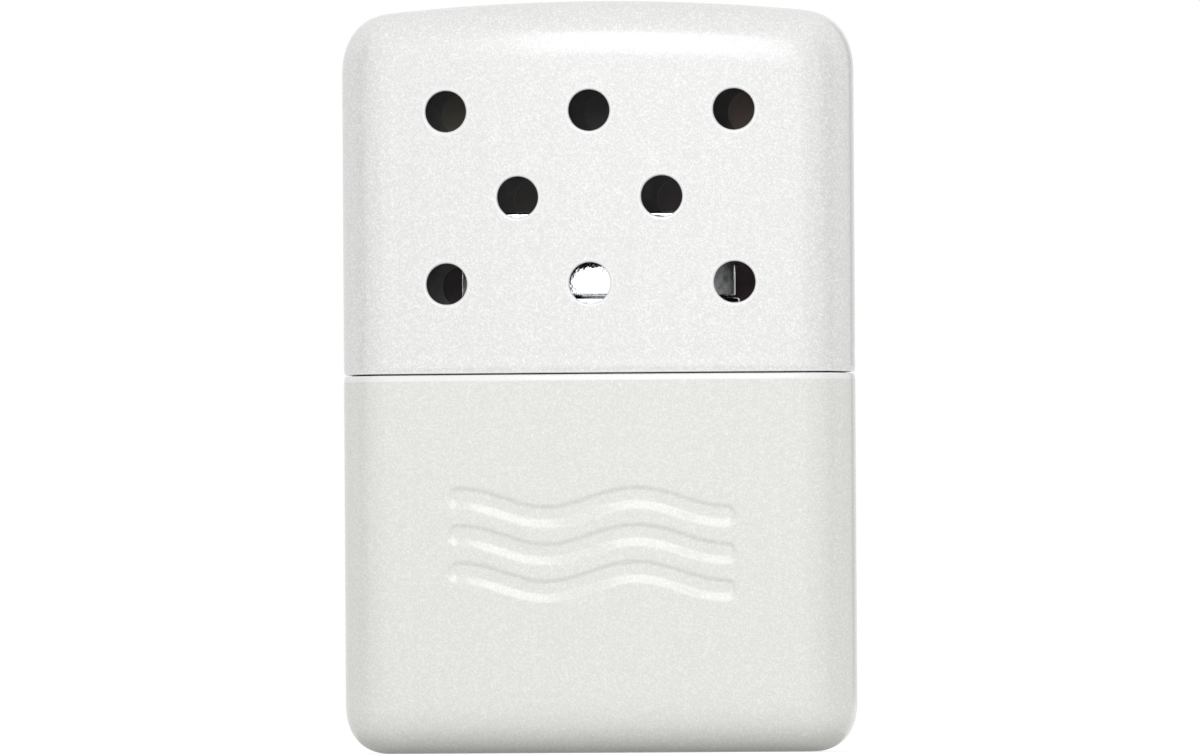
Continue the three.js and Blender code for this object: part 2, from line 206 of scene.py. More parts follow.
# Stage
WORLD_LIGHT = 0.64
WORLD_LEFT_TO_RIGHT = (0.8, 1.26)  # shares of that light
WORLD_FRONT_TO_BACK = (1.2, 0.85)
FLOOR_HALF = 6.0
FLOOR_TONE = 0.7
FLOOR_GLOW = 0.565
STRIP_MARGIN = 1.4 * VENT_RADIUS
STRIP_INSET = SHELL_WALL - 0.03 * MM
STRIP_COLUMN = 1 * MM
STRIP_SHADE_RISE = 1.5 * VENT_ROW
CARD_HEIGHT = 0.7
SIDE_CARD_X = 0.9
SIDE_CARD_Y = (-0.6, 0.15)
SIDE_CARD_TONE = 0.03
BACK_CARD_X = (0.05, 1.0)
BACK_CARD_Y = 1.2
BACK_CARD_TONE = 0.5
CONTACT_REACH = 1.3 * MM  # of the ring on the floor, beyond the body
CONTACT_HEIGHT = 0.05 * MM
CONTACT_TONE = 0.56
CONTACT_COLUMN = 2 * MM
CONTACT_CORNER_POINTS = 12
LAMP_COLOUR = (0.955, 0.98, 1.0)
CAMERA_AZIMUTH = math.radians(7.03)
CAMERA_ROLL = math.radians(-0.35)
CAMERA_DISTANCE = 2.0
CAMERA_HEIGHT = 6 * MM
CAMERA_TARGET = Vector((0.06 * MM, 0, 37.48 * MM))
SENSOR_MM = 36
LENS_MM = 600.7
CLIP_RANGE = (0.01, 50)

# Colours
BLACK = (0, 0, 0)
WHITE = (1, 1, 1)
CHROME_TONE = (0.64, 0.65, 0.665)
BURNER_TONE = (0.72, 0.727, 0.735)
# Pale colour of the dull blotches at the burner's ends, a painted sheen
DULL_SHEEN_TONE = (0.95, 0.96, 0.97)
# Painted shade of the seam, on the sleeve's chrome below it
SEAM_SHADE_TONE = (0.03, 0.027, 0.024)

# Places of a shell's materials in its list
PAINT, BARE, HIGHLIGHT = 0, 1, 2


# Meshes


class Shape:
    """The points and faces of a mesh in the making."""

    def __init__(self):
        self.points = []
        self.faces = []
        self.materials = []

    def row(self, points):
        """Adds points and returns their numbers."""
        first = len(self.points)
        self.points.extend(points)
        return list(range(first, len(self.points)))

    def stack(self, outline, profile, change=None):
        """Adds a row for each (inset, height) of a profile. outline gives the loop at an inset, and
        change, where there is one, moves each point."""
        rows = []
        for inset, height in profile:
            points = lifted(outline(inset), height)
            rows.append(self.row([change(*point) for point in points] if change else points))
        return rows

    def face(self, corners, material=0):
        self.faces.append(tuple(corners))
        self.materials.append(material)

    def band(self, lower, upper, material=0, skip=()):
        """Joins two closed rows that run counterclockwise from above, with the outside facing out."""
        for index in range(len(lower)):
            if index not in skip:
                after = (index + 1) % len(lower)
                self.face((lower[index], lower[after], upper[after], upper[index]), material)

    def skin(self, rows, material=0, inside=False, skipped=None):
        """Joins each row to the next. skipped gives the cells that are left out, by their row."""
        for index, (lower, upper) in enumerate(zip(rows, rows[1:])):
            skip = skipped.get(index, ()) if skipped else ()
            if inside:
                self.band(upper, lower, material, skip)
            else:
                self.band(lower, upper, material, skip)

    def cap(self, row, mirror, faces_up, material=0):
        """Closes a row by a strip from its front to its back. mirror gives each point's opposite."""
        front = ordered_front(mirror)
        for near, after in zip(front, front[1:]):
            corners = [row[near], row[after], row[mirror[after]], row[mirror[near]]]
            self.face(corners if faces_up else corners[::-1], material)

    def build(self, name, materials, smooth_angle=SMOOTH_ANGLE):
        """Makes the mesh object. Points that no face uses are left out."""
        used = sorted({corner for face in self.faces for corner in face})
        number = {old: new for new, old in enumerate(used)}
        points = [self.points[old] for old in used]
        faces = [[number[corner] for corner in face] for face in self.faces]
        mesh = bpy.data.meshes.new(name)
        mesh.from_pydata(points, [], faces)
        for material in materials:
            mesh.materials.append(material)
        mesh.polygons.foreach_set("material_index", self.materials)
        mesh.polygons.foreach_set("use_smooth", [True] * len(faces))
        mesh.set_sharp_from_angle(angle=smooth_angle)
        mesh.validate()
        piece = bpy.data.objects.new(name, mesh)
        bpy.context.scene.collection.objects.link(piece)
        return piece


def evenly(start, end, step):
    """Numbers from start to end, no further apart than step."""
    parts = max(1, math.ceil(round((end - start) / step, 6)))
    return [start + (end - start) * part / parts for part in range(parts + 1)]


def runs(edges, steps):
    """Numbers from the first edge to the last, with a step of its own between each edge and the next."""
    numbers = [edges[0]]
    for start, end, step in zip(edges, edges[1:], steps):
        numbers.extend(evenly(start, end, step)[1:])
    return numbers


def spotted_run(edge, centre, radius, plain, fine):
    """Numbers from -edge to edge that are finer across a round spot at each side of the middle."""
    near, far = centre - SPOT_SHARE * radius, centre + SPOT_SHARE * radius
    return runs((-edge, -far, -near, near, far, edge), (plain, fine, plain, fine, plain))


def nearest(numbers, value):
    """The index of the number that is nearest to a value."""
    return min(range(len(numbers)), key=lambda index: abs(numbers[index] - value))


def eased(value, start, end):
    """Runs smoothly from 0 to 1 as a value runs from start to end."""
    share = min(1.0, max(0.0, (value - start) / (end - start)))
    return share * share * (3 - 2 * share)


def rounding(wall, reach, level, rise, steps, fullness=2.0):
    """A quarter round from an upright wall to a level face, as points of a profile. reach is how far
    it goes beyond the wall and rise how far it climbs to the level, and both may be negative. A
    fullness of 2 gives a plain ellipse, and a greater one stands out nearer to the corner."""
    points = []
    for step in range(steps + 1):
        angle = math.pi / 2 * step / steps
        inward = 1 - math.cos(angle) ** (2 / fullness)
        upward = math.sin(angle) ** (2 / fullness)
        points.append((wall + reach * inward, level - rise * (1 - upward)))
    return points


def lifted(loop, height):
    return [(x, y, height) for x, y in loop]


def loop_of(columns, depths, quarter):
    """A closed loop from the points of its wide faces and of one corner, from face to side. It starts
    at the front's left end."""
    front = [(x, -y) for x, y in zip(columns, depths)]
    right_half = [(x, -y) for x, y in quarter] + quarter[::-1]
    back = list(zip(columns[::-1], depths[::-1]))
    return front + right_half + back + [(-x, -y) for x, y in right_half]


def mirror_of(columns, corner_points):
    """For each point of a loop, the number of the one opposite it, front to back."""
    count = 2 * columns + 4 * corner_points
    return [(2 * columns + 2 * corner_points - 1 - index) % count for index in range(count)]


def ordered_front(mirror):
    """The numbers of a loop's front points, from its left side to its right side."""
    count = len(mirror)
    left = (mirror[0] + 1 + count) // 2
    return [(left + step) % count for step in range(count // 2)]


def face_depth(x, inset):
    """How far a wide face stands from the middle plane."""
    radius = FACE_RADIUS - inset
    return BODY_DEPTH / 2 - FACE_RADIUS + math.sqrt(radius * radius - x * x)


def body_outline(columns, corner_points):
    """Gives the function from an inset to the body's outline, seen from above and drawn in by it."""
    face_centre = BODY_DEPTH / 2 - FACE_RADIUS
    corner_x = BODY_WIDTH / 2 - CORNER_RADIUS
    corner_y = face_centre + math.sqrt((FACE_RADIUS - CORNER_RADIUS) ** 2 - corner_x**2)
    tangent = math.atan2(corner_y - face_centre, corner_x)
    turns = [tangent * (1 - step / (corner_points - 1)) for step in range(corner_points)]

    def outline(inset):
        radius = CORNER_RADIUS - inset
        quarter = []
        for turn in turns:
            quarter.append((corner_x + radius * math.cos(turn), corner_y + radius * math.sin(turn)))
        return loop_of(columns, [face_depth(x, inset) for x in columns], quarter)

    return outline


def oblong_outline(columns, degrees):
    """Gives the function from a radius to an oblong with round ends. The angles of its end points
    fall from 90 degrees to just over 0."""
    turns = [math.radians(angle) for angle in degrees]

    def outline(radius):
        quarter = [(END_CENTRE + radius * math.cos(turn), radius * math.sin(turn)) for turn in turns]
        return loop_of(columns, [radius] * len(columns), quarter)

    return outline


def end_degrees(count):
    """Even angles for the points of a quarter of an oblong's two round ends."""
    return [90 - 180 * (step + 1) / (2 * count + 1) for step in range(count)]


# Materials


class Look:
    """The node tree of a material or of the world. Inputs are given by their names or numbers, and
    each is a number, a colour or the output of another node."""

    def __init__(self, owner):
        owner.use_nodes = True
        self.nodes = owner.node_tree.nodes
        self.links = owner.node_tree.links

    def feed(self, node, inputs):
        for name, value in inputs.items():
            if isinstance(value, bpy.types.NodeSocket):
                self.links.new(value, node.inputs[name])
            elif isinstance(value, tuple):
                node.inputs[name].default_value = (*value, 1)
            else:
                node.inputs[name].default_value = value

    def add(self, kind, inputs, output=0):
        """Makes a node and gives one of its outputs."""
        node = self.nodes.new("ShaderNode" + kind)
        self.feed(node, inputs)
        return node.outputs[output]

    def place(self, axis=None, kind="Object"):
        """The object's own coordinates, or the one along an axis."""
        place = self.add("TexCoord", {}, kind)
        return self.add("SeparateXYZ", {0: place}, axis) if axis else place

    def noise(self, scale, detail=3.0, roughness=0.5):
        inputs = {"Vector": self.place(), "Scale": scale, "Detail": detail, "Roughness": roughness}
        return self.add("TexNoise", inputs, "Fac")

    def math(self, operation, *values):
        node = self.nodes.new("ShaderNodeMath")
        node.operation = operation
        self.feed(node, dict(enumerate(values)))
        return node.outputs[0]

    def spread(self, source, low, high, start=0.0, end=1.0):
        """Maps a source's range from start to end onto the range from low to high."""
        inputs = {"Value": source, "From Min": start, "From Max": end, "To Min": low, "To Max": high}
        return self.add("MapRange", inputs)

    def ramp(self, source, low, high, low_at=0.3, high_at=0.7):
        """A colour that runs from low to high as the source runs from low_at to high_at."""
        colour = self.add("ValToRGB", {"Fac": source})
        first, second = colour.node.color_ramp.elements
        first.position, first.color = low_at, (*low, 1)
        second.position, second.color = high_at, (*high, 1)
        return colour

    def mix(self, share, first, second, mode="MIX"):
        """Two colours mixed."""
        node = self.nodes.new("ShaderNodeMix")
        node.data_type = "RGBA"
        node.blend_type = mode
        self.feed(node, {0: share, 6: first, 7: second})
        return node.outputs[2]

    def bump(self, source, strength, distance, below=None):
        inputs = {"Height": source, "Strength": strength, "Distance": distance}
        if below is not None:
            inputs["Normal"] = below
        return self.add("Bump", inputs)


def new_material(name, base, metallic, roughness):
    """A material with its shader's plain values set, its look and its shader."""
    material = bpy.data.materials.new(name)
    look = Look(material)
    shader = look.nodes["Principled BSDF"]
    look.feed(shader, {"Base Color": base, "Metallic": metallic, "Roughness": roughness})
    return material, look, shader


def scaled(colour, factor):
    return tuple(part * factor for part in colour)


def pearl_paint(name, base, ior, sparkle):
    """Gloss pearl paint: fine flakes that differ a little in tone and tilt, under a clear coat."""
    material, look, shader = new_material(name, base, metallic=0.0, roughness=0.42)
    flakes = look.add("TexVoronoi", {"Vector": look.place(), "Scale": 7200}).node.outputs
    dull, bright = scaled(base, 1 - 0.35 * sparkle), scaled(base, 1 + 1.3 * sparkle)
    tone = look.ramp(flakes["Color"], dull, bright, low_at=0.42, high_at=0.92)
    mottle = look.noise(scale=3800, detail=2.0, roughness=0.6)
    darker, paler = scaled(WHITE, 1 - 0.35 * sparkle), scaled(WHITE, 1.01)
    mottled = look.ramp(mottle, darker, paler, low_at=0.35, high_at=0.65)
    grain = look.bump(flakes["Distance"], strength=0.08, distance=0.02 * MM)
    swell = look.noise(scale=500, detail=1.0)
    look.feed(shader, {
        "Base Color": look.mix(1.0, tone, mottled, "MULTIPLY"),
        "IOR": ior,
        "Normal": look.bump(swell, strength=0.05, distance=0.03 * MM, below=grain),
        "Coat Weight": 0.7,
        "Coat Roughness": 0.13,
    })
    return material


def bare_metal():
    """The unpainted inside of the shells: drawn steel gone dull and brownish with heat, made very dark as
    painted shade inside the lid.
    """
    dark, pale = (0.11, 0.104, 0.106), (0.21, 0.198, 0.2)
    material, look, shader = new_material("bare_metal", pale, metallic=0.85, roughness=0.5)
    stain = look.noise(scale=240, detail=5.0, roughness=0.65)
    look.feed(shader, {
        "Base Color": look.ramp(stain, dark, pale),
        "Roughness": look.spread(stain, low=0.4, high=0.62),
        "Normal": look.bump(look.noise(scale=1500), strength=0.15, distance=0.02 * MM),
    })
    return material


def chrome_plate(name, base, ripple_size, ripple_height, seam_shade_at=None, dull_sheen_ends=None):
    """Bright chrome, a little wavy and hazy. It can have a dark band of painted shade up to a height, for a
    seam, and grow dull in blotches between two distances from the middle, whose pale colour is a painted
    sheen."""
    material, look, shader = new_material(name, base, metallic=1.0, roughness=0.1)
    haze = look.noise(scale=700, detail=4.0, roughness=0.65)
    tone = look.ramp(haze, scaled(base, 0.93), base)
    ripple = look.bump(look.noise(scale=1 / ripple_size, detail=2.5), 1.0, ripple_height)
    waves = look.bump(look.noise(scale=260, detail=1.5), 1.0, 0.05 * MM, below=ripple)
    look.feed(shader, {"Roughness": look.spread(haze, low=0.05, high=0.15), "Normal": waves})
    # Dull blotches of lower metallic near the ends, whose pale colour is a painted sheen of the light that
    # the ends catch.
    if dull_sheen_ends is not None:
        start, end = dull_sheen_ends
        blotches = look.ramp(haze, scaled(WHITE, 0.12), scaled(WHITE, 0.6), low_at=0.42, high_at=0.6)
        share = look.spread(look.math("ABSOLUTE", look.place("X")), 0.0, 1.0, start, end)
        look.feed(shader, {"Metallic": look.mix(share, WHITE, blotches)})
        tone = look.mix(share, tone, DULL_SHEEN_TONE)
    # Painted shade: below a ragged line just over this height the chrome turns dark, as the seam's shade.
    if seam_shade_at is not None:
        start, end = seam_shade_at + 0.35 * MM, seam_shade_at + 0.55 * MM
        ragged = look.math("MULTIPLY_ADD", look.noise(scale=1400), 0.3 * MM, look.place("Z"))
        tone = look.mix(look.spread(ragged, 0.0, 1.0, start, end), SEAM_SHADE_TONE, tone)
    look.feed(shader, {"Base Color": tone})
    return material


def wire_gauze():
    """Stainless wire, tinted straw and blue where the catalyst has heated it."""
    steel, blue, straw = (0.5, 0.48, 0.45), (0.36, 0.34, 0.36), (0.55, 0.5, 0.42)
    material, look, shader = new_material("wire_gauze", steel, metallic=1.0, roughness=0.32)
    look.feed(shader, {"Base Color": look.ramp(look.noise(scale=130, detail=2.0), blue, straw)})
    return material


def catalyst_fleece():
    """Glass fibre fleece, grey with platinum, paler where the coating is thin."""
    dark, pale = (0.085, 0.083, 0.08), (0.3, 0.29, 0.275)
    material, look, shader = new_material("catalyst_fleece", pale, metallic=0.0, roughness=0.9)
    fibres = look.noise(scale=2600, detail=6.0, roughness=0.75)
    look.feed(shader, {
        "Base Color": look.ramp(fibres, dark, pale, low_at=0.35, high_at=0.68),
        "Normal": look.bump(fibres, strength=0.7, distance=0.12 * MM),
        "Sheen Weight": 0.25,
    })
    return material


def cotton_fibre():
    """Loose bleached cotton, warmer and darker in its folds, where the colour paints in their shade."""
    warm, pale = (0.74, 0.71, 0.64), (0.9, 0.89, 0.86)
    material, look, shader = new_material("cotton", pale, metallic=0.0, roughness=0.95)
    folds = look.noise(scale=700, detail=6.0, roughness=0.7)
    look.feed(shader, {
        "Base Color": look.ramp(folds, warm, pale, low_at=0.35, high_at=0.6),
        "Normal": look.bump(folds, strength=0.8, distance=0.25 * MM),
        "Sheen Weight": 0.4,
        "Subsurface Weight": 0.15,
        "Subsurface Scale": 1 * MM,
    })
    return material


LID_PAINT = pearl_paint("lid_paint", (0.852, 0.851, 0.829), ior=1.9, sparkle=0.15)
CASE_PAINT = pearl_paint("case_paint", (0.85, 0.842, 0.802), ior=1.5, sparkle=0.1)
# A paler copy of the paint for rounded rims and hole edges: a painted highlight.
HIGHLIGHT_PAINT = pearl_paint("bead_paint", (0.94, 0.94, 0.93), ior=1.7, sparkle=0.03)
BARE_METAL = bare_metal()
SEAM_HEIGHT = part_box("lid_shell")[0].z
# Where the burner's chrome gets dull blotches with a painted sheen
DULL_SHEEN_ENDS = (10 * MM, 12 * MM)
CHROME = chrome_plate("chrome_plate", CHROME_TONE, 1 * MM, 0.03 * MM)
BURNER_CHROME = chrome_plate("burner_chrome", BURNER_TONE, 0.6 * MM, 0.05 * MM, dull_sheen_ends=DULL_SHEEN_ENDS)
# The sleeve's chrome is painted dark below the seam, as the seam's shade.
SLEEVE_CHROME = chrome_plate("sleeve_chrome", CHROME_TONE, 1 * MM, 0.03 * MM, seam_shade_at=SEAM_HEIGHT)
WIRE = wire_gauze()
FLEECE = catalyst_fleece()
COTTON = cotton_fibre()


def place(piece, node, slot):
    """A finished piece stands for a CAD node, which it hides, and rides on that node's body. Its slot is
    not used.
    """
    body = next(name for name, nodes in frame["record"]["behaviour"]["bodies"].items() if node in nodes)
    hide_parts(node)
    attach(piece, body)
    return piece


# Lid


def make_lid():
    """The drawn lid: a painted shell, bare inside, whose vent holes have rounded painted edges."""
    low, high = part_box("lid_shell")
    rim, top = low.z - SEAM_CLOSING, high.z
    panel_bottom = VENT_LOWEST - VENT_ROW / 2
    panel_top = panel_bottom + len(VENT_ROWS) * VENT_ROW
    round_start = top - LID_ROUND_DROP
    columns = evenly(-FACE_HALF, FACE_HALF, VENT_COLUMN / CELLS_TO_COLUMN)
    wall_edges = (rim + LID_PLAIN_RISE, panel_bottom, panel_top, round_start)
    heights = runs(wall_edges, (LID_PLAIN_ROW, VENT_ROW / CELLS_TO_ROW, LID_TOP_ROW))
    outline = body_outline(columns, CORNER_POINTS)
    mirror = mirror_of(len(columns), CORNER_POINTS)
    shape = Shape()

    def crown_fall(x):
        return LID_CROWN_RADIUS - math.sqrt(LID_CROWN_RADIUS**2 - x * x)

    def arched(x, y, z):
        """Lowers a point towards the sides where the wall nears the arched top."""
        near_top = eased(z, panel_top, round_start)
        if abs(x) <= FACE_HALF:
            return (x, y, z - crown_fall(x) * near_top)
        at_edge = crown_fall(FACE_HALF)
        beyond_edge = (crown_fall(x) - at_edge) * eased(z, panel_bottom, round_start)
        return (x, y, z - (at_edge * near_top + beyond_edge))

    def drawn_top(inset):
        reach, drop = LID_ROUND_REACH - inset, LID_ROUND_DROP - inset
        return rounding(inset, reach, top - inset, drop, DRAWN_STEPS, DRAWN_FULLNESS)[1:]

    outer = shape.stack(outline, [(0, height) for height in heights], arched)
    inner = shape.stack(outline, [(SHELL_WALL, height) for height in heights], arched)
    outer_top = shape.stack(outline, drawn_top(0), arched)
    inner_top = shape.stack(outline, drawn_top(SHELL_WALL), arched)
    blocks = vent_blocks(columns, heights)
    skipped = skipped_cells(blocks, mirror)
    shape.skin([*outer, *outer_top], PAINT, skipped=skipped)
    shape.skin([*inner, *inner_top], BARE, inside=True, skipped=skipped)
    shape.cap(outer_top[-1], mirror, faces_up=True, material=PAINT)
    shape.cap(inner_top[-1], mirror, faces_up=False, material=BARE)

    rises = runs((LID_RIM_DROP, LID_SWELL_RISE, LID_HOLLOW_RISE, LID_PLAIN_RISE), LID_RIM_ROWS)[1:-1]
    low_wall = shape.stack(outline, [(low_wall_inset(rise), rim + rise) for rise in rises])
    rim_rows = shape.stack(outline, rim_profile(rim, LID_RIM_REACH, LID_RIM_DROP, LID_RIM_IN))
    close_rim(shape, [inner[0], *rim_rows, low_wall[0]])
    shape.skin([*low_wall, outer[0]], PAINT)
    for block in blocks:
        for side in (-1, 1):
            vent_hole(shape, block, side, outer, inner, columns, heights, mirror)
    return place(shape.build("lid", [LID_PAINT, BARE_METAL, HIGHLIGHT_PAINT]), "lid_shell", "pearl_paint")


def low_wall_inset(rise):
    """How far the lid's wall lies in at a height over its rim: it is drawn in at the rim, swells out,
    and has a shallow hollow before it is plain."""
    drawn_in = LID_RIM_IN * (1 - eased(rise, LID_RIM_DROP, LID_SWELL_RISE))
    from_swell = eased(rise, LID_SWELL_RISE, LID_HOLLOW_RISE)
    from_plain = eased(rise, LID_PLAIN_RISE, LID_HOLLOW_RISE)
    return drawn_in + LID_HOLLOW_DEPTH * min(from_swell, from_plain)


def rim_profile(rim, reach, drop, inset=0.0):
    """A rim from its inner edge outwards. drop is how far up or down its rounding runs."""
    return [(SHELL_WALL, rim), *rounding(inset, reach, rim, -drop, EDGE_STEPS)[::-1]]


def close_rim(shape, rows):
    """Joins the inside and the outside of a shell over the rows of its rim, whose rounding takes a paler
    paint as a painted highlight.
    """
    shape.skin(rows[:2], PAINT)
    shape.skin(rows[1:-1], HIGHLIGHT)
    shape.skin(rows[-2:], PAINT)


def vent_blocks(columns, heights):
    """The cells round each vent hole: its centre, and its first and last column and row."""
    blocks = []
    for row, places in enumerate(VENT_ROWS):
        for column in places:
            x, z = column * VENT_COLUMN, VENT_LOWEST + row * VENT_ROW
            middle, level = nearest(columns, x), nearest(heights, z)
            sides = (middle - VENT_CELLS, middle + VENT_CELLS, level - VENT_CELLS, level + VENT_CELLS)
            blocks.append((x, z, *sides))
    return blocks


def skipped_cells(blocks, mirror):
    """For each row of cells, those that the vent holes take out of the front and of the back."""
    skipped = {}
    for _x, _z, left, right, bottom, top in blocks:
        for row in range(bottom, top):
            for column in range(left, right):
                skipped.setdefault(row, set()).update((column, mirror[column + 1]))
    return skipped


def vent_hole(shape, block, side, outer, inner, columns, heights, mirror):
    """A hole with a rounded painted edge, joined to the cells round it. side is -1 at the front."""
    x, z, left, right, bottom, top = block
    border = [(column, bottom) for column in range(left, right)]
    border += [(right, row) for row in range(bottom, top)]
    border += [(column, top) for column in range(right, left, -1)]
    border += [(left, row) for row in range(top, bottom, -1)]
    angles = [math.atan2(heights[row] - z, columns[column] - x) for column, row in border]

    def edge_of(rows):
        return [rows[row][column if side < 0 else mirror[column]] for column, row in border]

    def ring(inset, radius):
        points = []
        for angle in angles:
            ring_x = x + radius * math.cos(angle)
            points.append((ring_x, side * face_depth(ring_x, inset), z + radius * math.sin(angle)))
        return shape.row(points)

    rings = [(edge_of(outer), PAINT), (ring(0, VENT_RADIUS + VENT_HIGHLIGHT), PAINT)]
    # The hole's rounded edge takes the paler paint of a painted highlight.
    for inset, radius in rounding(0, VENT_EDGE, VENT_RADIUS, -VENT_EDGE, EDGE_STEPS):
        rings.append((ring(inset, radius), HIGHLIGHT))
    # The hole's wall takes the dark bare metal rather than paint: painted shade in the hole.
    rings.append((ring(SHELL_WALL - VENT_INNER_EDGE, VENT_RADIUS), BARE))
    rings.append((ring(SHELL_WALL, VENT_RADIUS + VENT_INNER_EDGE), BARE))
    rings.append((edge_of(inner), BARE))
    for (near, _material), (after, material) in zip(rings, rings[1:]):
        shape.skin([near, after], material, inside=side > 0)


# Case


def relief(x, z):
    """The depth of the pattern pressed into the case's front: three wavy lines, one above another."""
    end = RELIEF_HALF_WIDTH - RELIEF_STROKE
    along = min(end, max(-end, x))
    phase = math.pi * RELIEF_WAVES * along / end
    slope = math.pi * RELIEF_WAVES / end * RELIEF_SWING * math.cos(phase)
    deepest = 0.0
    for line in (-1, 0, 1):
        middle = RELIEF_CENTRE + line * RELIEF_PITCH + RELIEF_SWING * math.sin(phase)
        above = (z - middle) / math.sqrt(1 + slope * slope)
        away = math.hypot(above, x - along) or 1.0
        upper_share = (1 + above / away) / 2
        wall = RELIEF_LOWER_WALL + (RELIEF_UPPER_WALL - RELIEF_LOWER_WALL) * upper_share
        down = min(1.0, max(0.0, (RELIEF_STROKE - away) / wall))
        deepest = max(deepest, RELIEF_EVEN_SHARE * down + (1 - RELIEF_EVEN_SHARE) * eased(down, 0, 1))
    return RELIEF_DEPTH * deepest


def make_case():
    """The drawn case: a closed painted can with a rolled rim and the relief on its front."""
    low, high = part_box("case_shell")
    floor, rim = low.z, high.z + SEAM_CLOSING
    side = RELIEF_HALF_WIDTH + 2 * RELIEF_CELL
    relief_half = RELIEF_PITCH + RELIEF_SWING + RELIEF_STROKE + RELIEF_CELL
    relief_low, relief_high = RELIEF_CENTRE - relief_half, RELIEF_CENTRE + relief_half
    columns = runs((-FACE_HALF, -side, side, FACE_HALF), (CASE_COLUMN, RELIEF_CELL, CASE_COLUMN))
    wall_edges = (floor + CASE_ROUND_RISE, relief_low, relief_high, rim - CASE_RIM_FOOT)
    heights = runs(wall_edges, (CASE_ROW, RELIEF_CELL, CASE_ROW))
    outline = body_outline(columns, CORNER_POINTS)
    mirror = mirror_of(len(columns), CORNER_POINTS)
    shape = Shape()

    def pressed(x, y, z):
        return (x, y + relief(x, z), z) if y < 0 else (x, y, z)

    def drawn_foot(inset, steps, fullness):
        reach, rise = CASE_ROUND_REACH - inset, CASE_ROUND_RISE - inset
        return rounding(inset, reach, floor + inset, -rise, steps, fullness)[::-1]

    outer = shape.stack(outline, drawn_foot(0, DRAWN_STEPS, DRAWN_FULLNESS)[:-1])
    outer += shape.stack(outline, [(0, height) for height in heights], pressed)
    inner = shape.stack(outline, drawn_foot(SHELL_WALL, CASE_INNER_STEPS, 2.0))
    inner += shape.stack(outline, [(SHELL_WALL, rim - CASE_RIM_FOOT)])
    rim_rows = shape.stack(outline, rim_profile(rim, CASE_RIM_REACH, -CASE_RIM_DROP)[::-1])
    shape.cap(outer[0], mirror, faces_up=False, material=PAINT)
    shape.skin(outer, PAINT)
    shape.cap(inner[0], mirror, faces_up=True, material=BARE)
    shape.skin(inner, BARE, inside=True)
    close_rim(shape, [outer[-1], *rim_rows, inner[-1]])
    return place(shape.build("case", [CASE_PAINT, BARE_METAL, HIGHLIGHT_PAINT]), "case_shell", "pearl_paint")


# Sleeve and deck


def dome(x, z, centre_x, centre_z, radius, height):
    """The height of a flattened ball over a face."""
    away = math.hypot(x - centre_x, z - centre_z) / radius
    return height * math.sqrt(max(0.0, 1 - away * away))


def oblong_points_near(loop, radius):
    """For each point of a loop, the nearest point of an oblong inside it."""
    points = []
    for x, y in loop:
        centre_x = min(END_CENTRE, max(-END_CENTRE, x))
        away = math.hypot(x - centre_x, y)
        points.append((centre_x + (x - centre_x) * radius / away, y * radius / away))
    return points


def make_sleeve():
    """The chromed sleeve and deck, one pressing with a hole for the neck and dots that grip the lid."""
    low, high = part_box("tank_top")
    bottom, deck = low.z, high.z
    underside = deck - DECK_THICKNESS
    outer_inset = SHELL_WALL + SLEEVE_GAP
    inner_inset = outer_inset + SLEEVE_WALL
    inner_radius = DECK_EDGE_RADIUS - DECK_THICKNESS
    seam = (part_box("case_shell")[1].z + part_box("lid_shell")[0].z) / 2
    bump_z = (seam + deck) / 2
    fine_half = SPOT_SHARE * GRIP_BUMP_RADIUS
    wall_edges = (bottom, bump_z - fine_half, bump_z + fine_half, deck - DECK_EDGE_RADIUS)
    columns = spotted_run(FACE_HALF, GRIP_BUMP_X, GRIP_BUMP_RADIUS, SLEEVE_COLUMN, SLEEVE_CELL)
    outline = body_outline(columns, SLEEVE_CORNER_POINTS)
    shape = Shape()

    def raised(x, y, z):
        dot = dome(abs(x), z, GRIP_BUMP_X, bump_z, GRIP_BUMP_RADIUS, GRIP_BUMP_HEIGHT)
        return (x, y + math.copysign(dot, y), z)

    inside = rounding(inner_inset, inner_radius, underside, inner_radius, EDGE_STEPS)
    outside = rounding(outer_inset, DECK_EDGE_RADIUS, deck, DECK_EDGE_RADIUS, DECK_EDGE_STEPS)[::-1]
    wall = [(outer_inset, height) for height in runs(wall_edges, SLEEVE_ROWS)[:-1]]
    hole = oblong_points_near(outline(inner_inset + inner_radius), NECK_RADIUS + SLEEVE_GAP)
    rows = shape.stack(outline, [(inner_inset, bottom), *inside])
    rows += [shape.row(lifted(hole, height)) for height in (underside, deck)]
    rows += shape.stack(outline, [*outside, *wall[::-1]], raised)
    shape.skin([*rows, rows[0]], inside=True)
    return place(shape.build("sleeve", [SLEEVE_CHROME]), "tank_top", "chrome_plate")


# Burner and neck


def ring_piece(name, material, outline, profile, change=None):
    """A closed ring skinned over a profile of (radius, height), up its outside and down its inside."""
    shape = Shape()
    rows = shape.stack(outline, profile, change)
    shape.skin([*rows, rows[0]])
    return shape.build(name, [material])


def make_neck():
    """The filler neck: an oblong tube with a rolled mouth and a flange that lies on the deck."""
    low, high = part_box("filler_neck")
    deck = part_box("tank_top")[1].z
    bore = NECK_RADIUS - THIN_WALL
    flange = NECK_RADIUS + FLANGE_REACH
    flange_top = deck + FLANGE_THICKNESS
    foot = 2 * FLANGE_EDGE
    profile = [(NECK_RADIUS, low.z), (NECK_RADIUS, deck), (flange, deck)]
    profile += rounding(flange, -FLANGE_EDGE, flange_top, FLANGE_EDGE, CORNER_STEPS)
    profile += [(NECK_RADIUS + foot, flange_top), (NECK_RADIUS, flange_top + foot)]
    profile += rounding(NECK_RADIUS, -NECK_LIP, high.z, NECK_LIP, CORNER_STEPS)
    profile += rounding(bore, NECK_LIP, high.z, NECK_LIP, CORNER_STEPS)[::-1]
    profile += [(bore, low.z)]
    columns = evenly(-END_CENTRE, END_CENTRE, OBLONG_COLUMN)
    outline = oblong_outline(columns, end_degrees(OBLONG_END_POINTS))
    return place(ring_piece("neck", CHROME, outline, profile), "filler_neck", "chrome_plate")


